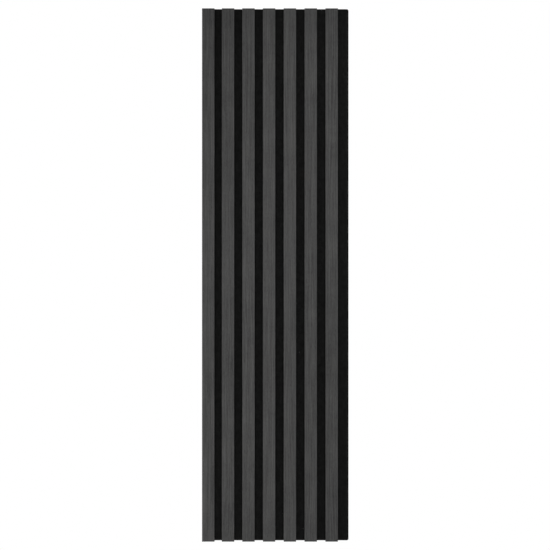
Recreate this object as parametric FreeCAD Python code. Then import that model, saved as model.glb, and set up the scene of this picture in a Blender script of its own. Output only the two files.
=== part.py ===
"""Acoustic slat wall panel: veneered slats glued and stapled to a felt backing board.

Frame: the origin is the middle of the felt's back face, which lies against the wall. +Z runs up
along the slats, +X to the right as seen from the room, and -Y out of the wall into the room.
All lengths are in millimetres.

The felt is level with the first slat on the left. On the right it runs on past the last slat as
a free margin, which the next panel butts against. Every slat is a strip of black fibreboard with
a thin wood veneer on its front face, so its two sides stay black. Staples driven through the back
of the felt hold each slat until the glue has set, and stay in place after that.
"""

import FreeCAD, Part
import math
import os

from FreeCAD import Vector

# The slats and how they are laid on the felt
slat_count = 7
slat_width = 24.0
slat_gap = 16.0
panel_height = 1035.0
# How far each slat lies from its even place, because slats are laid by hand
slat_lay = (0.0, -1.6, -1.9, -1.9, -1.5, -1.0, -0.4)

# The two layers of a slat
core_thickness = 11.4
veneer_thickness = 0.6
veneer_edge_radius = 0.25

# The felt board
felt_thickness = 9.0
free_margin = 21.0
felt_corner_radius = 3.5

# The staples, one row up the middle of each slat
staple_end_distance = 30.0
staple_widest_spacing = 165.0
staple_crown = 12.8
staple_wire_width = 0.95
staple_wire_thickness = 0.65
staple_point_length = 1.4
# The fibreboard left whole between a staple's points and the veneer
staple_cover = 3.5

# The dimple that each staple pulls into the soft felt
crown_sink = 0.9
dimple_clearance = 0.25
dimple_shoulder = 1.3

# Places that follow from the sizes above
slat_pitch = slat_width + slat_gap
felt_width = slat_count * slat_width + (slat_count - 1) * slat_gap + free_margin
felt_left = -felt_width / 2
felt_right = felt_width / 2
panel_bottom = -panel_height / 2
panel_top = panel_height / 2
felt_front = -felt_thickness
core_front = felt_front - core_thickness
veneer_front = core_front - veneer_thickness
crown_back = -crown_sink
crown_front = crown_back - staple_wire_thickness
staple_tip = core_front + staple_cover


def slat_left(index):
    """The left edge of a slat: its even place, plus how far from it the slat was laid."""
    lay = slat_lay[index] if index < len(slat_lay) else 0.0
    return felt_left + index * slat_pitch + lay


def staple_levels():
    """The heights of one row's staples, evenly spaced and no wider apart than allowed."""
    run = panel_height - 2 * staple_end_distance
    steps = math.ceil(run / staple_widest_spacing)
    lowest = panel_bottom + staple_end_distance
    return [lowest + run * step / steps for step in range(steps + 1)]


def line(start, end):
    return Part.LineSegment(start, end).toShape()


def arc(start, end, centre):
    """The shorter arc from start to end about a centre."""
    radius = (start - centre).Length
    towards_middle = (start - centre) + (end - centre)
    middle = centre + towards_middle.normalize() * radius
    return Part.Arc(start, middle, end).toShape()


def felt_board():
    """The felt without its holes. Only the two corners of the free margin are rounded."""
    r = felt_corner_radius
    low_left = Vector(felt_left, 0, panel_bottom)
    low_right = Vector(felt_right - r, 0, panel_bottom)
    side_low = Vector(felt_right, 0, panel_bottom + r)
    side_high = Vector(felt_right, 0, panel_top - r)
    high_right = Vector(felt_right - r, 0, panel_top)
    high_left = Vector(felt_left, 0, panel_top)
    outline = Part.Wire(
        [
            line(low_left, low_right),
            arc(low_right, side_low, Vector(felt_right - r, 0, panel_bottom + r)),
            line(side_low, side_high),
            arc(side_high, high_right, Vector(felt_right - r, 0, panel_top - r)),
            line(high_right, high_left),
            line(high_left, low_left),
        ]
    )
    return Part.Face(outline).extrude(Vector(0, -felt_thickness, 0))


def outline_about_staple(margin, y):
    """A rectangle in the plane at y that stands this far outside a staple's crown all round."""
    half_length = staple_crown / 2 + margin
    half_width = staple_wire_width / 2 + margin
    corners = [
        Vector(-half_length, y, -half_width),
        Vector(half_length, y, -half_width),
        Vector(half_length, y, half_width),
        Vector(-half_length, y, half_width),
    ]
    return Part.makePolygon(corners + corners[:1])


def dimple():
    """The sloping hollow that a staple's crown pulls into the felt. The crown lies on its floor."""
    mouth = outline_about_staple(dimple_clearance + dimple_shoulder, 0)
    floor = outline_about_staple(dimple_clearance, crown_front)
    return Part.makeLoft([mouth, floor], True, True)


def staple_leg(side):
    """The edges of one leg, from its point to its bend. Side is 1 on the right, -1 on the left."""
    outer = side * staple_crown / 2
    inner = outer - side * staple_wire_thickness
    point = Vector((outer + inner) / 2, staple_tip, 0)
    outer_shoulder = Vector(outer, staple_tip + staple_point_length, 0)
    inner_shoulder = Vector(inner, staple_tip + staple_point_length, 0)
    outer_bend = Vector(outer, crown_front, 0)
    inner_corner = Vector(inner, crown_front, 0)
    return [
        line(point, outer_shoulder),
        line(outer_shoulder, outer_bend),
        arc(outer_bend, Vector(inner, crown_back, 0), inner_corner),
        line(point, inner_shoulder),
        line(inner_shoulder, inner_corner),
    ]


def staple():
    """A flat wire with two pointed legs. It is bent tight, so its inside corners are sharp."""
    half_inside = staple_crown / 2 - staple_wire_thickness
    crown = [
        line(Vector(-half_inside, crown_back, 0), Vector(half_inside, crown_back, 0)),
        line(Vector(-half_inside, crown_front, 0), Vector(half_inside, crown_front, 0)),
    ]
    edges = Part.sortEdges(crown + staple_leg(1) + staple_leg(-1))[0]
    wire = Part.Face(Part.Wire(edges)).extrude(Vector(0, 0, staple_wire_width))
    wire.translate(Vector(0, 0, -staple_wire_width / 2))
    return wire


def row_behind_slat(piece, index):
    """Copies of a piece at every staple level, up the middle of one slat."""
    middle = slat_left(index) + slat_width / 2
    row = []
    for level in staple_levels():
        copy = piece.copy()
        copy.translate(Vector(middle, 0, level))
        row.append(copy)
    return row


def slat_core(index, staples):
    """The fibreboard strip, with the holes that the staples make in its back."""
    left = slat_left(index)
    right = left + slat_width
    corners = [
        Vector(left, felt_front, panel_bottom),
        Vector(left, core_front, panel_bottom),
        Vector(right, core_front, panel_bottom),
        Vector(right, felt_front, panel_bottom),
    ]
    section = Part.Face(Part.makePolygon(corners + corners[:1]))
    strip = section.extrude(Vector(0, 0, panel_height))
    return strip.cut(Part.makeCompound(staples))


def slat_veneer(index):
    """The veneer on a slat's front face. Sanding has eased its two long front edges."""
    left = slat_left(index)
    right = left + slat_width
    r = veneer_edge_radius
    back_left = Vector(left, core_front, panel_bottom)
    side_left = Vector(left, veneer_front + r, panel_bottom)
    front_left = Vector(left + r, veneer_front, panel_bottom)
    front_right = Vector(right - r, veneer_front, panel_bottom)
    side_right = Vector(right, veneer_front + r, panel_bottom)
    back_right = Vector(right, core_front, panel_bottom)
    section = Part.Wire(
        [
            line(back_left, side_left),
            arc(side_left, front_left, Vector(left + r, veneer_front + r, panel_bottom)),
            line(front_left, front_right),
            arc(front_right, side_right, Vector(right - r, veneer_front + r, panel_bottom)),
            line(side_right, back_right),
            line(back_right, back_left),
        ]
    )
    return Part.Face(section).extrude(Vector(0, 0, panel_height))


def write(name, shape):
    shape.exportStep(os.path.join("parts", name + ".step"))


def main():
    os.makedirs("parts", exist_ok=True)
    one_staple = staple()
    one_dimple = dimple()
    felt_cuts = []
    for index in range(slat_count):
        staples = row_behind_slat(one_staple, index)
        felt_cuts += staples + row_behind_slat(one_dimple, index)
        number = str(index + 1)
        write("slat_core_" + number, slat_core(index, staples))
        write("slat_veneer_" + number, slat_veneer(index))
        write("slat_staples_" + number, Part.makeCompound(staples))
    write("felt_backing", felt_board().cut(Part.makeCompound(felt_cuts)))


main()
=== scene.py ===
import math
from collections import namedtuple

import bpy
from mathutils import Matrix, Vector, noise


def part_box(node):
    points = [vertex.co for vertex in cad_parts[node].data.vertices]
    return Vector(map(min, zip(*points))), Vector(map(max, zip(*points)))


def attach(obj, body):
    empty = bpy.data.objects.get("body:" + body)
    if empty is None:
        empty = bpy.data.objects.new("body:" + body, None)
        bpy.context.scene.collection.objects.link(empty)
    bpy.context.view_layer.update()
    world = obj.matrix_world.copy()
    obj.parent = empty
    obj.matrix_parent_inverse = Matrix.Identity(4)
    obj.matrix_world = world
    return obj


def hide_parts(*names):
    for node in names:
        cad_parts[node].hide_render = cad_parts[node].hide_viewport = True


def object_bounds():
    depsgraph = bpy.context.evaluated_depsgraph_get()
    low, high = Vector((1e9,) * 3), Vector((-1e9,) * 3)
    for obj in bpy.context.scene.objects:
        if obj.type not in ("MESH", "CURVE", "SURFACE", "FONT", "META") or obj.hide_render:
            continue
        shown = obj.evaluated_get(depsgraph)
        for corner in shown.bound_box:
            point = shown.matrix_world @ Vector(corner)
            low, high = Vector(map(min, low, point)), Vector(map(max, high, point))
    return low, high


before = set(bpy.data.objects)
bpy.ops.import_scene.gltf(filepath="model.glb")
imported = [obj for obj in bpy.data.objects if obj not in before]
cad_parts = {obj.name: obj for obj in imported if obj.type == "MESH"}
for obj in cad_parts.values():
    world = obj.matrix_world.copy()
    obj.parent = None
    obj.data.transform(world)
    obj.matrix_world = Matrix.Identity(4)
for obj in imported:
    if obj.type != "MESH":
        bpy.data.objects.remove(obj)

# The looks of a slat wall panel: charcoal veneered slats on a black felt board.
# The frame is the solid model's own: the wall side is at y = 0, the room is towards -Y, and +Z
# runs up along the slats. Lengths are in metres, and names that end in MM are in millimetres.

CAD_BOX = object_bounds()

MM = 0.001
SLAT_COUNT = 7
STAPLES_PER_SLAT = 7
STAPLE_WIRE_MM = 0.95

# The photo's camera: level, square to the panel, at the middle of its height
PHOTO_WIDTH_PX = 550
FOCAL_LENGTH_PX = 1262
SENSOR_WIDTH_MM = 36
CAMERA_FROM_SLATS = 2.449
CAMERA_SIDEWAYS = -0.9 * MM

# The felt's rim: softly rounded, rough where it was cut, and cut a little long at the top
FELT_ARRIS_MM = 0.7
FELT_CORNER_RADIUS_MM = 3.5
FELT_EDGE_ROUGH_MM = 0.07
FELT_PAST_TOP_MM = 1.0

# The felt's faces: pressed behind the slats, swollen between them and gently uneven
FELT_PRESSED_MM = 0.03
FELT_SWELL_MM = 0.22
FELT_SWELL_REACH_MM = 2.5
FELT_UNEVEN_MM = 0.1

# The felt's back is puckered in by each staple, with a wide shallow dish around it
PUCKER_DEPTH_MM = 1.35
PUCKER_REACH_MM = 1.7
DISH_DEPTH_MM = 0.2
DISH_REACH_MM = 6.0

# Colours are linear, with a fourth number where a node asks for one. The felt and the fibreboard
# are dyed black, and the veneer is stained charcoal.
VENEER_COOL = (0.0448, 0.0447, 0.0443, 1)
VENEER_WARM = (0.0453, 0.0449, 0.0442, 1)
FIBREBOARD = (0.0075, 0.0073, 0.0070, 1)
FIBREBOARD_FLECK = (0.018, 0.017, 0.016, 1)
FELT = (0.0046, 0.0047, 0.0046, 1)
FELT_FIBRE = (0.0106, 0.0108, 0.0106, 1)
LINT = (0.30, 0.30, 0.29, 1)
STEEL = (0.50, 0.50, 0.51)
FLOOR = (0.86, 0.86, 0.86)
WHITE = (1, 1, 1, 1)

# Painted shade: veneer and felt are drawn darker at the top ends, and towards the top left and the
# bottom right
PAINTED_TOP_SHADE = 0.82
PAINTED_TOP_SHADE_REACH_MM = 75
PAINTED_SHADE_TWIST = 0.15

# How dark or light each slat's strip of veneer is, from left to right
VENEER_TONES = (0.955, 0.955, 1.04, 1.035, 1.08, 1.005, 0.92)


# Node trees

# A noise pattern: how long its patches are along X, Y and Z, and how fine and how strong its
# detail is. Its size has the unit of the place that it is laid on, which is mostly millimetres.
Pattern = namedtuple("Pattern", "size detail roughness", defaults=(2, 0.5))

# Nearly all values of a pattern lie in this range
NOISE_RANGE = (0.3, 0.7)
NOISE_MIDDLE = 0.5


def feed(node, inputs):
    """Set each input that is given a number or colour, and link each one that is given a socket."""
    for name, value in inputs.items():
        if isinstance(value, bpy.types.NodeSocket):
            node.id_data.links.new(value, node.inputs[name])
        else:
            node.inputs[name].default_value = value


def add(tree, kind, inputs=None, **settings):
    """A new node, with its inputs fed."""
    made = tree.nodes.new(kind)
    for name, value in settings.items():
        setattr(made, name, value)
    feed(made, inputs or {})
    return made


def new_material(name):
    material = bpy.data.materials.new(name)
    material.use_nodes = True
    return material, material.node_tree, material.node_tree.nodes["Principled BSDF"]


def math_node(tree, operation, *values):
    return add(tree, "ShaderNodeMath", dict(enumerate(values)), operation=operation).outputs[0]


def spread(tree, value, old, new):
    """The value, with the old range stretched over the new range, and no value past its ends."""
    inputs = {
        "Value": value,
        "From Min": old[0],
        "From Max": old[1],
        "To Min": new[0],
        "To Max": new[1],
    }
    return add(tree, "ShaderNodeMapRange", inputs).outputs["Result"]


def millimetres(tree, start_mm=(0, 0, 0)):
    """The place on the object in millimetres. A start moves it, to give a piece its own pattern."""
    place = add(tree, "ShaderNodeTexCoord").outputs["Object"]
    inputs = {"Vector": place, "Location": start_mm, "Scale": (1 / MM, 1 / MM, 1 / MM)}
    return add(tree, "ShaderNodeMapping", inputs).outputs["Vector"]


def noise_texture(tree, pattern, place):
    scale = tuple(1 / size for size in pattern.size)
    stretched = add(tree, "ShaderNodeMapping", {"Vector": place, "Scale": scale}).outputs["Vector"]
    inputs = {
        "Vector": stretched,
        "Scale": 1,
        "Detail": pattern.detail,
        "Roughness": pattern.roughness,
    }
    return add(tree, "ShaderNodeTexNoise", inputs)


def pattern_at(tree, pattern, place):
    """The pattern's smooth value at a place, from 0 to 1."""
    return noise_texture(tree, pattern, place).outputs["Fac"]


def mix(tree, data_type, kind, factor, first, second):
    """A mix of two values. Some sockets of the node share a name, so identifiers find the right ones."""
    made = add(tree, "ShaderNodeMix", data_type=data_type)
    values = {"Factor_Float": factor, "A_" + kind: first, "B_" + kind: second}
    number_of = {socket.identifier: number for number, socket in enumerate(made.inputs)}
    feed(made, {number_of[identifier]: value for identifier, value in values.items()})
    return next(socket for socket in made.outputs if socket.identifier == "Result_" + kind)


def mix_values(tree, factor, first, second):
    return mix(tree, "FLOAT", "Float", factor, first, second)


def mix_colours(tree, factor, first, second):
    return mix(tree, "RGBA", "Color", factor, first, second)


def times(tree, colour, factor):
    """A colour made darker or lighter by a factor."""
    inputs = {0: colour, "Scale": factor}
    return add(tree, "ShaderNodeVectorMath", inputs, operation="SCALE").outputs[0]


def bump(tree, height, strength, depth_mm):
    """Which way the surface faces once it is as rough as the height says."""
    inputs = {"Height": height, "Strength": strength, "Distance": depth_mm * MM}
    return add(tree, "ShaderNodeBump", inputs).outputs["Normal"]


def faces_along(tree, axis):
    """1 where the surface looks along the axis, either way, and 0 where it looks across it."""
    normal = add(tree, "ShaderNodeNewGeometry").outputs["True Normal"]
    return math_node(tree, "ABSOLUTE", add(tree, "ShaderNodeSeparateXYZ", {0: normal}).outputs[axis])


def painted_shade_drift(tree):
    """A factor near 1 that paints shade over the whole panel: darker at the top ends, and towards the
    top left and the bottom right.
    """
    place = add(tree, "ShaderNodeSeparateXYZ", {0: millimetres(tree)})
    right, top = CAD_BOX[1].x / MM, CAD_BOX[1].z / MM
    twist = math_node(tree, "MULTIPLY", place.outputs["X"], place.outputs["Z"])
    twist = math_node(tree, "MULTIPLY_ADD", twist, PAINTED_SHADE_TWIST / (right * top), 1)
    shade = spread(tree, place.outputs["Z"], (top - PAINTED_TOP_SHADE_REACH_MM, top), (1, PAINTED_TOP_SHADE))
    return math_node(tree, "MULTIPLY", twist, shade)


# The veneer's finish: charcoal stain on streaked wood, with fibres along Z and fine open pores

# Each slat shows its own stretch of the wood, this far on from the slat before
VENEER_STEP_MM = (71.3, 13.7, 397)

# The grain isn't ruler straight: it wanders sideways, by at most this much
GRAIN_WANDER = Pattern((60, 60, 230), detail=1)
GRAIN_WANDER_MM = 6

# Each layer of tone: its name, its pattern, and how strongly it darkens and lightens the stain
VENEER_LAYERS = (
    ("streaks", Pattern((2.1, 2.1, 95), detail=3, roughness=0.55), 1.6),
    ("fibres", Pattern((0.36, 0.36, 13), detail=4, roughness=0.62), 0.95),
    ("mottle", Pattern((1.9, 1.9, 4.5), detail=1), 0.45),
    ("clouds", Pattern((34, 34, 36)), 0.48),
    ("drift", Pattern((60, 60, 340), detail=1), 0.5),
)
LAYERS_ALONG_GRAIN = ("streaks", "fibres")

# Clouds are cooler or warmer too. Their colour changes between these values of their pattern.
CLOUD_EDGE = (0.35, 0.65)

# Pores are short dark dashes, crowded in some of the wood's rings and fainter between them
RINGS = Pattern((3.4, 3.4, 190), detail=1)
RING_EDGE = (0.42, 0.58)
BETWEEN_RINGS = 0.25
DASHES = Pattern((0.26, 0.26, 7), detail=1)
DASH_EDGE = (0.58, 0.64)
PORE_TONE = -0.34

# The least roughness, and what the layers and the pores add to roughness and relief
VENEER_ROUGHNESS = 0.5
STREAK_ROUGHNESS = 0.16
PORE_ROUGHNESS = 0.12
FIBRE_RELIEF = 0.35
PORE_RELIEF = -1


def bend_grain(tree, place):
    """The place, moved sideways as the grain wanders."""
    drift = math_node(tree, "SUBTRACT", pattern_at(tree, GRAIN_WANDER, place), NOISE_MIDDLE)
    sideways = math_node(tree, "MULTIPLY", drift, 2 * GRAIN_WANDER_MM)
    shift = add(tree, "ShaderNodeCombineXYZ", {"X": sideways}).outputs["Vector"]
    return add(tree, "ShaderNodeVectorMath", {0: place, 1: shift}, operation="ADD").outputs[0]


def wood_pores(tree, grain):
    """1 in a pore, less in one between the rings, and 0 in the wood around them."""
    crowded = spread(tree, pattern_at(tree, RINGS, grain), RING_EDGE, (BETWEEN_RINGS, 1))
    dashes = spread(tree, pattern_at(tree, DASHES, grain), DASH_EDGE, (0, 1))
    return math_node(tree, "MULTIPLY", dashes, crowded)


def veneer_material(number):
    material, tree, shader = new_material("charcoal_veneer_%d" % number)
    place = millimetres(tree, [number * step for step in VENEER_STEP_MM])
    grain = bend_grain(tree, place)
    pores = wood_pores(tree, grain)

    layers = {}
    tone = VENEER_TONES[number - 1]
    for name, pattern, strength in VENEER_LAYERS:
        layers[name] = pattern_at(tree, pattern, grain if name in LAYERS_ALONG_GRAIN else place)
        centred = math_node(tree, "SUBTRACT", layers[name], NOISE_MIDDLE)
        tone = math_node(tree, "MULTIPLY_ADD", centred, strength, tone)
    tone = math_node(tree, "MULTIPLY_ADD", pores, PORE_TONE, tone)
    # Painted shade: the veneer is darker at its top end, and towards the top left and the bottom right
    tone = math_node(tree, "MULTIPLY", tone, painted_shade_drift(tree))
    warmth = spread(tree, layers["clouds"], CLOUD_EDGE, (0, 1))
    stain = mix_colours(tree, warmth, VENEER_COOL, VENEER_WARM)

    roughness = math_node(tree, "MULTIPLY_ADD", layers["streaks"], STREAK_ROUGHNESS, VENEER_ROUGHNESS)
    roughness = math_node(tree, "MULTIPLY_ADD", pores, PORE_ROUGHNESS, roughness)
    relief = math_node(tree, "MULTIPLY", layers["fibres"], FIBRE_RELIEF)
    relief = math_node(tree, "MULTIPLY_ADD", pores, PORE_RELIEF, relief)
    feed(shader, {
        "Base Color": times(tree, stain, tone),
        "Roughness": roughness,
        "Specular IOR Level": 0.15,
        "Normal": bump(tree, relief, strength=0.6, depth_mm=0.05),
    })
    return material


# The fibreboard's finish: dyed black, planed on its sides and sawn on its ends, with pale flecks

PLANED = Pattern((3, 0.5, 38))
SAWN = Pattern((7, 0.7, 3))
MARK_TONES = (0.8, 1.2)
MARK_ROUGHNESS = (0.62, 0.78)

FLECKS = Pattern((0.35, 0.35, 0.35), detail=3, roughness=0.65)
FLECK_EDGE = (0.52, 0.74)
PALEST_FLECK = 0.8
FLECK_RELIEF = 0.5


def fibreboard_material():
    material, tree, shader = new_material("black_fibreboard")
    place = millimetres(tree)
    planed, sawn = pattern_at(tree, PLANED, place), pattern_at(tree, SAWN, place)
    marks = mix_values(tree, faces_along(tree, "Z"), planed, sawn)
    flecks = pattern_at(tree, FLECKS, place)
    pale = spread(tree, flecks, FLECK_EDGE, (0, PALEST_FLECK))
    colour = mix_colours(tree, pale, FIBREBOARD, FIBREBOARD_FLECK)
    relief = math_node(tree, "ADD", marks, math_node(tree, "MULTIPLY", flecks, FLECK_RELIEF))
    feed(shader, {
        "Base Color": times(tree, colour, spread(tree, marks, NOISE_RANGE, MARK_TONES)),
        "Roughness": spread(tree, marks, NOISE_RANGE, MARK_ROUGHNESS),
        "Specular IOR Level": 0.03,
        "Normal": bump(tree, relief, strength=0.5, depth_mm=0.12),
    })
    return material


# The felt's finish: a mat of fine curved fibres, mottled, with pressed layers on the cut edges

# The fibres lie in three directions: each one's angle in degrees, and where its pattern starts
FIBRE_LAYS = ((18, 0), (74, 40), (131, 90))
FIBRE_SHAPE = Pattern((0.16, 0.3, 2.6), detail=1)
FIBRE_CURL = Pattern((2.4, 2.4, 2.4), detail=1)
FIBRE_CURL_MM = 1.6
FIBRE_EDGE = (0.5, 0.78)
CUT_LAYERS = Pattern((4, 0.4, 4))

TUFTS = Pattern((1.3, 1.3, 1.3), detail=3, roughness=0.6)
TUFT_TONES = (0.5, 1.5)
TUFT_RELIEF = 1.2
PATCHES = Pattern((8, 8, 10), roughness=0.65)
PATCH_TONES = (0.72, 1.28)

# Specks of pale lint are few and tiny. They fade out past their core, a share of their radius.
LINT_APART_MM = 20
LINT_RADIUS_MM = 0.35
LINT_CORE = 0.6


def fibre_strokes(tree, place, degrees, start_mm):
    """Thin curved strokes, like felt fibres that lie at one angle in the plane of the board."""
    inputs = {
        "Vector": place,
        "Location": (start_mm, 0, start_mm),
        "Rotation": (0, math.radians(degrees), 0),
    }
    turned = add(tree, "ShaderNodeMapping", inputs).outputs["Vector"]
    curl = noise_texture(tree, FIBRE_CURL, turned).outputs["Color"]
    inputs = {0: curl, 1: (FIBRE_CURL_MM, FIBRE_CURL_MM, FIBRE_CURL_MM), 2: turned}
    curled = add(tree, "ShaderNodeVectorMath", inputs, operation="MULTIPLY_ADD").outputs[0]
    return pattern_at(tree, FIBRE_SHAPE, curled)


def fibre_mat(tree, place):
    """The strokes of every direction, laid over each other."""
    mat, *others = [fibre_strokes(tree, place, *lay) for lay in FIBRE_LAYS]
    for strokes in others:
        mat = math_node(tree, "MAXIMUM", mat, strokes)
    return mat


def lint_specks(tree, place):
    """1 in a speck of lint and 0 around it."""
    specks = add(tree, "ShaderNodeTexVoronoi", {"Vector": place, "Scale": 1 / LINT_APART_MM})
    edge = LINT_RADIUS_MM / LINT_APART_MM
    return spread(tree, specks.outputs["Distance"], (LINT_CORE * edge, edge), (1, 0))


def felt_material():
    material, tree, shader = new_material("black_felt")
    place = millimetres(tree)
    cut, mat = pattern_at(tree, CUT_LAYERS, place), fibre_mat(tree, place)
    surface = mix_values(tree, faces_along(tree, "Y"), cut, mat)
    dyed = mix_colours(tree, spread(tree, surface, FIBRE_EDGE, (0, 1)), FELT, FELT_FIBRE)

    tufts, patches = pattern_at(tree, TUFTS, place), pattern_at(tree, PATCHES, place)
    tone = spread(tree, tufts, NOISE_RANGE, TUFT_TONES)
    tone = math_node(tree, "MULTIPLY", tone, spread(tree, patches, NOISE_RANGE, PATCH_TONES))
    # Painted shade: the felt is darker at its top end, and towards the top left and the bottom right
    tone = math_node(tree, "MULTIPLY", tone, painted_shade_drift(tree))
    relief = math_node(tree, "MULTIPLY_ADD", tufts, TUFT_RELIEF, surface)
    feed(shader, {
        "Base Color": mix_colours(tree, lint_specks(tree, place), times(tree, dyed, tone), LINT),
        "Roughness": 0.95,
        "Specular IOR Level": 0.04,
        "Sheen Weight": 0.02,
        "Sheen Roughness": 0.5,
        "Normal": bump(tree, relief, strength=0.7, depth_mm=0.25),
    })
    return material


# The staples' finish: galvanised wire, with faint lines drawn along the crown and a mottled coat

DRAWN_LINES = Pattern((6, 0.12, 0.12))
LINE_ROUGHNESS = (0.3, 0.48)
COAT_MOTTLE = Pattern((0.8, 0.8, 0.8))
COAT_TONES = (0.8, 1.1)


def steel_material():
    material, tree, shader = new_material("staple_steel")
    place = millimetres(tree)
    lines, mottle = pattern_at(tree, DRAWN_LINES, place), pattern_at(tree, COAT_MOTTLE, place)
    feed(shader, {
        "Base Color": times(tree, STEEL, spread(tree, mottle, NOISE_RANGE, COAT_TONES)),
        "Metallic": 1,
        "Roughness": spread(tree, lines, NOISE_RANGE, LINE_ROUGHNESS),
        "Normal": bump(tree, lines, strength=0.3, depth_mm=0.02),
    })
    return material


def finish_node(name, material):
    """Give one of the solid model's own pieces its material."""
    for material_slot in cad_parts[name].material_slots:
        material_slot.material = material


# The felt board's shape. From here to its mesh, every length is in millimetres.

# Numbers that differ by less than this are the same, and places are rounded to so many digits
TINY = 1e-4
DIGITS = 3

# The bumps in the felt: how long they are along X, Y and Z, first those that stand out more
FACE_BUMPS = ((12, 1, 16), (45, 1, 70))
RIM_BUMPS = ((9, 0.9, 9), (2.6, 2.2, 2.6))
BUMP_SHARES = (0.5, 0.4)

# Where the bumps of each part are taken from in the noise, and how much further on the next lie
FRONT_START = 3
BACK_START = 11
RIM_START = 0
NEXT_START = 30


def fill_gaps(keys, widest):
    """The keys in order, with evenly spaced lines between any two that lie too far apart."""
    keys = sorted({round(key, DIGITS) for key in keys})
    lines = keys[:1]
    for low, high in zip(keys, keys[1:]):
        steps = max(1, math.ceil((high - low) / widest - TINY))
        lines += [low + (high - low) * step / steps for step in range(1, steps + 1)]
    return lines


def millimetre_box(node):
    """A node's lowest and highest corners, rounded so that its edges and the grid's lines agree."""
    return [Vector([round(value / MM, DIGITS) for value in corner]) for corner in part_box(node)]


def bumpy(place, bumps, start):
    """How high a bumpy surface stands at a place, from 0 to 1."""
    height = 0.5
    for number, (size, share) in enumerate(zip(bumps, BUMP_SHARES)):
        x, y, z = (value / length for value, length in zip(place, size))
        height += share * noise.noise(Vector((x, y + start + NEXT_START * number, z)))
    return min(max(height, 0), 1)


def faces_between(rings):
    """The four-sided faces that join each ring of points to the next one."""
    faces = []
    for near, far in zip(rings, rings[1:]):
        for k in range(len(near)):
            after = (k + 1) % len(near)
            faces.append((near[k], far[k], far[after], near[after]))
    return faces


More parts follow.
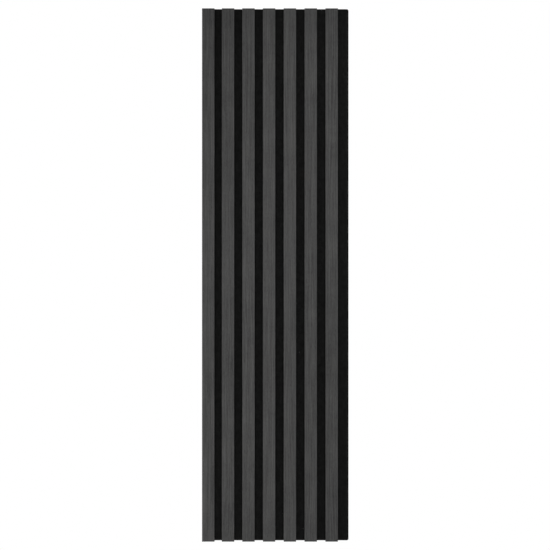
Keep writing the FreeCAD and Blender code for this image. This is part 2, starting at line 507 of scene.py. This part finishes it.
class FeltBoard:
    """The felt's soft shape: one grid of lines gives both faces, and rings round the rim join them."""

    # Where the grid has a line, counted from a slat's middle, its edge, a staple or the rim
    ACROSS_FROM_MIDDLE = (0, 2.2, 4.2, 5.4, 6.1, 6.8, 7.8, 9.4)
    ACROSS_FROM_SLAT_EDGE = (0, 0.5, 1.2, 2.4)
    UP_FROM_STAPLE = (0, 0.5, 1.0, 1.8, 3.0, 5.0)
    NEAR_RIM = (0.8, 2.0, 3.5)
    WIDEST_ACROSS = 4.5
    WIDEST_UP = 8.0

    # Steps round a corner, round the rim's soft edges and over its thickness
    CORNER_STEPS = 8
    ARRIS_STEPS = 3
    EDGE_STEPS = 7

    # The grid's lines bend in to a round corner over this many corner radii
    CORNER_BLEND = 3

    def __init__(self):
        self.low, self.high = millimetre_box("felt_backing")
        self.slats = [millimetre_box("slat_core_%d" % n) for n in range(1, SLAT_COUNT + 1)]
        self.middles = [(low.x + high.x) / 2 for low, high in self.slats]
        lowest, highest = millimetre_box("slat_staples_1")
        half_wire = STAPLE_WIRE_MM / 2
        self.half_crown = (highest.x - lowest.x) / 2
        start = lowest.z + half_wire
        spacing = (highest.z - half_wire - start) / (STAPLES_PER_SLAT - 1)
        self.levels = [start + spacing * n for n in range(STAPLES_PER_SLAT)]
        self.left, self.right = self.low.x + FELT_ARRIS_MM, self.high.x - FELT_ARRIS_MM
        self.bottom, self.top = self.low.z + FELT_ARRIS_MM, self.high.z - FELT_ARRIS_MM
        self.corner = FELT_CORNER_RADIUS_MM - FELT_ARRIS_MM
        self.across = self.lines_across()
        self.up = self.lines_up()

    def lines_across(self):
        keys = {self.left, self.right}
        for middle, (low, high) in zip(self.middles, self.slats):
            keys.update(middle + side * away for away in self.ACROSS_FROM_MIDDLE for side in (-1, 1))
            keys.update(low.x - away for away in self.ACROSS_FROM_SLAT_EDGE)
            keys.update(high.x + away for away in self.ACROSS_FROM_SLAT_EDGE)
        keys.update(self.left + away for away in self.NEAR_RIM)
        keys.update(self.right - away for away in self.NEAR_RIM)
        inside = [key for key in keys if self.left <= key <= self.right]
        return fill_gaps(inside, self.WIDEST_ACROSS)

    def lines_up(self):
        keys = {self.bottom, self.top}
        for level in self.levels:
            keys.update(level + side * away for away in self.UP_FROM_STAPLE for side in (-1, 1))
        turns = [math.pi / 2 * step / self.CORNER_STEPS for step in range(1, self.CORNER_STEPS + 1)]
        for away in [self.corner * (1 - math.cos(turn)) for turn in turns]:
            keys.update((self.bottom + away, self.top - away))
        return fill_gaps(keys, self.WIDEST_UP)

    def rounded(self, x, z):
        """Where a grid point lies across the board, drawn in where the right corners are round."""
        past = max(abs(z) - (self.top - self.corner), 0)
        drawn_in = self.corner - math.sqrt(max(self.corner ** 2 - past ** 2, 0))
        start = self.right - self.CORNER_BLEND * self.corner
        if x <= start:
            return x
        return start + (x - start) * (self.right - drawn_in - start) / (self.right - start)

    def outward(self, x, z):
        """Which way the rim faces at a point of the grid's outline. A square corner is mitred."""
        centre_x = self.right - self.corner
        centre_z = math.copysign(self.top - self.corner, z)
        if x > centre_x + TINY and abs(z) > abs(centre_z) + TINY:
            return Vector((x - centre_x, z - centre_z)).normalized()
        faces_x = -1 if x < self.left + TINY else 1 if x > self.right - TINY else 0
        faces_z = math.copysign(1, z) if abs(z) > self.top - TINY else 0
        return Vector((faces_x, faces_z))

    def swell(self, x):
        """How far the felt stands out between the slats, where nothing presses it flat."""
        nearest = min(max(low.x - x, x - high.x) for low, high in self.slats)
        nearest = min(max(nearest, 0), self.high.x - x)
        share = min(nearest / FELT_SWELL_REACH_MM, 1)
        return FELT_SWELL_MM * share * share * (3 - 2 * share)

    def pucker(self, x, z):
        """How deep the felt's back is drawn in by the nearest staple."""
        aside = min(abs(x - middle) for middle in self.middles)
        above = min(abs(z - level) for level in self.levels)
        away = math.hypot(max(aside - self.half_crown + STAPLE_WIRE_MM, 0), above)
        soft = PUCKER_DEPTH_MM * math.exp(-((away / PUCKER_REACH_MM) ** 2))
        return soft + DISH_DEPTH_MM * math.exp(-((away / DISH_REACH_MM) ** 2))

    def front(self, x, z):
        """The depth of the front face, which only waves where it is free to swell."""
        swell = self.swell(x)
        pressed = FELT_PRESSED_MM if swell < TINY else 0
        waves = FELT_UNEVEN_MM * bumpy((x, 0, z), FACE_BUMPS, FRONT_START) * swell / FELT_SWELL_MM
        return self.low.y + pressed - swell + waves

    def back(self, x, z):
        """The depth of the back face, with its waves and puckers."""
        waves = FELT_UNEVEN_MM * bumpy((x, 0, z), FACE_BUMPS, BACK_START)
        return self.high.y - waves - self.pucker(x, z)

    def stretched(self, z):
        """The final height of a point: above the top staples the felt reaches up to its long edge."""
        start = self.levels[-1] + self.UP_FROM_STAPLE[-1]
        return z + FELT_PAST_TOP_MM * max(z - start, 0) / (self.high.z - start)

    def rim_sections(self):
        """Steps from the front face to the back over the rim: (how far outward, depth) pairs."""
        r = FELT_ARRIS_MM
        turn = [math.pi / 2 * step / self.ARRIS_STEPS for step in range(self.ARRIS_STEPS + 1)]
        front = [(r * math.sin(a), self.low.y + r * (1 - math.cos(a))) for a in turn[1:]]
        back = [(r * math.cos(a), self.high.y - r * (1 - math.sin(a))) for a in turn[:-1]]
        wall_low, wall_high = front[-1][1], back[0][1]
        steps = self.EDGE_STEPS
        wall = [(r, wall_low + (wall_high - wall_low) * n / steps) for n in range(1, steps)]
        return front + wall + back

    def rim_point(self, x, z, out, y):
        """A point of the rim, so far outward from a grid point, less what its rough cut takes off."""
        rough = FELT_EDGE_ROUGH_MM * bumpy((x, y, z), RIM_BUMPS, RIM_START)
        step = out - rough * out / FELT_ARRIS_MM
        facing = self.outward(x, z)
        return (x + facing.x * step, y, z + facing.y * step)

    def outline(self):
        """The numbers of the grid's outer points in order, anticlockwise as seen from the room."""
        rows = len(self.up)
        last_x, last_z = len(self.across) - 1, rows - 1
        loop = [(i, 0) for i in range(last_x)]
        loop += [(last_x, j) for j in range(last_z)]
        loop += [(i, last_z) for i in range(last_x, 0, -1)]
        loop += [(0, j) for j in range(last_z, 0, -1)]
        return [i * rows + j for i, j in loop]

    def grid_faces(self):
        """The faces of the front grid, each followed by the one behind it on the back."""
        columns, rows = len(self.across), len(self.up)
        behind = columns * rows
        faces = []
        for i in range(columns - 1):
            for j in range(rows - 1):
                a, b = i * rows + j, (i + 1) * rows + j
                faces.append((a, b, b + 1, a + 1))
                faces.append((a + 1 + behind, b + 1 + behind, b + behind, a + behind))
        return faces

    def build(self):
        """The board as one closed mesh: the front grid, the back grid and the rings between them."""
        grid = [(self.rounded(x, z), z) for x in self.across for z in self.up]
        points = [(x, self.front(x, z), z) for x, z in grid]
        points += [(x, self.back(x, z), z) for x, z in grid]
        outline = self.outline()
        rings = [outline]
        for out, y in self.rim_sections():
            rings.append(range(len(points), len(points) + len(outline)))
            points += [self.rim_point(*grid[number], out, y) for number in outline]
        rings.append([number + len(grid) for number in outline])

        mesh = bpy.data.meshes.new("felt_board")
        corners = [(x * MM, y * MM, self.stretched(z) * MM) for x, y, z in points]
        mesh.from_pydata(corners, [], self.grid_faces() + faces_between(rings))
        mesh.validate()
        mesh.shade_smooth()
        piece = bpy.data.objects.new("felt_board", mesh)
        bpy.context.scene.collection.objects.link(piece)
        return piece


# The stage: a pale floor below the panel, a white surround and soft lamps, all in metres

FLOOR_BELOW_PANEL = 0.30
FLOOR_RADIUS = 3.0
FLOOR_PLAIN_RADIUS = 0.45
FLOOR_WHITE_RADIUS = 1.1
FLOOR_MOTTLE = Pattern((0.9, 0.9, 0.9))
FLOOR_TONES = (0.98, 1)
WORLD_FILL = 0.12


def seen_directly(tree):
    """1 for rays that see the surroundings, also in a mirror or through glass, and 0 for light."""
    path = add(tree, "ShaderNodeLightPath")
    glossy, through = path.outputs["Is Glossy Ray"], path.outputs["Is Transmission Ray"]
    indirect = math_node(tree, "MAXIMUM", glossy, through)
    return math_node(tree, "MAXIMUM", path.outputs["Is Camera Ray"], indirect)


def make_world():
    """A faint even fill for the object, and plain white for whatever sees the background."""
    world = bpy.data.worlds.new("studio")
    world.use_nodes = True
    tree = world.node_tree
    fill = tree.nodes["Background"]
    feed(fill, {"Color": WHITE, "Strength": WORLD_FILL})
    white = add(tree, "ShaderNodeBackground", {"Color": WHITE, "Strength": 1})
    inputs = {0: seen_directly(tree), 1: fill.outputs[0], 2: white.outputs[0]}
    both = add(tree, "ShaderNodeMixShader", inputs)
    feed(tree.nodes["World Output"], {"Surface": both.outputs[0]})
    bpy.context.scene.world = world


def floor_material():
    """Pale under the panel, so that it keeps the shadow, and fading into plain white further out."""
    material, tree, shader = new_material("pale_floor")
    place = add(tree, "ShaderNodeTexCoord").outputs["Object"]
    away = add(tree, "ShaderNodeVectorMath", {0: place}, operation="LENGTH").outputs["Value"]
    far = spread(tree, away, (FLOOR_PLAIN_RADIUS, FLOOR_WHITE_RADIUS), (0, 1))
    mottle = pattern_at(tree, FLOOR_MOTTLE, place)
    feed(shader, {
        "Base Color": times(tree, FLOOR, spread(tree, mottle, NOISE_RANGE, FLOOR_TONES)),
        "Roughness": 0.9,
        "Specular IOR Level": 0.1,
    })
    white = add(tree, "ShaderNodeEmission", {"Color": WHITE, "Strength": 1})
    factor = math_node(tree, "MULTIPLY", far, seen_directly(tree))
    both = add(tree, "ShaderNodeMixShader", {0: factor, 1: shader.outputs[0], 2: white.outputs[0]})
    feed(tree.nodes["Material Output"], {"Surface": both.outputs[0]})
    return material


def make_floor():
    bpy.ops.mesh.primitive_circle_add(vertices=96, radius=FLOOR_RADIUS, fill_type="NGON")
    floor = bpy.context.object
    floor.name = "floor"
    floor.location = (0, 0, CAD_BOX[0].z - FLOOR_BELOW_PANEL)
    floor.data.materials.append(floor_material())


# Each lamp's name, place, aim, width and height, and watts
LAMPS = (
    ("front_left", (-0.45, -3.0, 0.2), (0, 0, 0.05), (0.9, 1.2), 28.7),
    ("front_right", (0.5, -3.0, -0.1), (0, 0, 0.05), (0.9, 1.2), 26.6),
    ("left", (-2.9, 0.4, 0.1), (0, 0, 0), (1.3, 1.5), 24),
    ("right", (2.9, 0.4, 0.1), (0, 0, 0), (1.3, 1.5), 24),
    ("back_left", (-1.6, 2.6, 0.9), (0, 0, 0), (1.8, 1.8), 44),
    ("back_right", (1.9, 2.4, 0.3), (0, 0, 0), (1.8, 1.8), 28),
    ("above", (0, -0.3, 2.6), (0, 0, 0), (2.4, 2.4), 34),
)


def soft_lamp(name, place, aim, size, watts):
    """A rectangle of light that shines at its aim. The camera doesn't see it."""
    lamp = bpy.data.lights.new(name, "AREA")
    lamp.shape = "RECTANGLE"
    lamp.size, lamp.size_y = size
    lamp.energy = watts
    holder = bpy.data.objects.new(name, lamp)
    holder.location = place
    holder.rotation_mode = "QUATERNION"
    holder.rotation_quaternion = (Vector(aim) - Vector(place)).to_track_quat("-Z", "Y")
    holder.visible_camera = False
    bpy.context.scene.collection.objects.link(holder)


def make_camera():
    data = bpy.data.cameras.new("camera")
    data.sensor_width = SENSOR_WIDTH_MM
    data.lens = SENSOR_WIDTH_MM * FOCAL_LENGTH_PX / PHOTO_WIDTH_PX
    camera = bpy.data.objects.new("camera", data)
    low, high = CAD_BOX
    camera.location = (CAMERA_SIDEWAYS, low.y - CAMERA_FROM_SLATS, (low.z + high.z) / 2)
    camera.rotation_euler = (math.pi / 2, 0, 0)
    bpy.context.scene.collection.objects.link(camera)
    bpy.context.scene.camera = camera


def main():
    bpy.context.scene.view_settings.view_transform = "Standard"
    make_camera()
    make_world()
    make_floor()
    for lamp in LAMPS:
        soft_lamp(*lamp)

    fibreboard = fibreboard_material()
    steel = steel_material()
    for number in range(1, SLAT_COUNT + 1):
        finish_node("slat_veneer_%d" % number, veneer_material(number))
        finish_node("slat_core_%d" % number, fibreboard)
        finish_node("slat_staples_%d" % number, steel)

    felt = FeltBoard().build()
    felt.data.materials.append(felt_material())
    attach(felt, "root")
    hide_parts("felt_backing")


main()
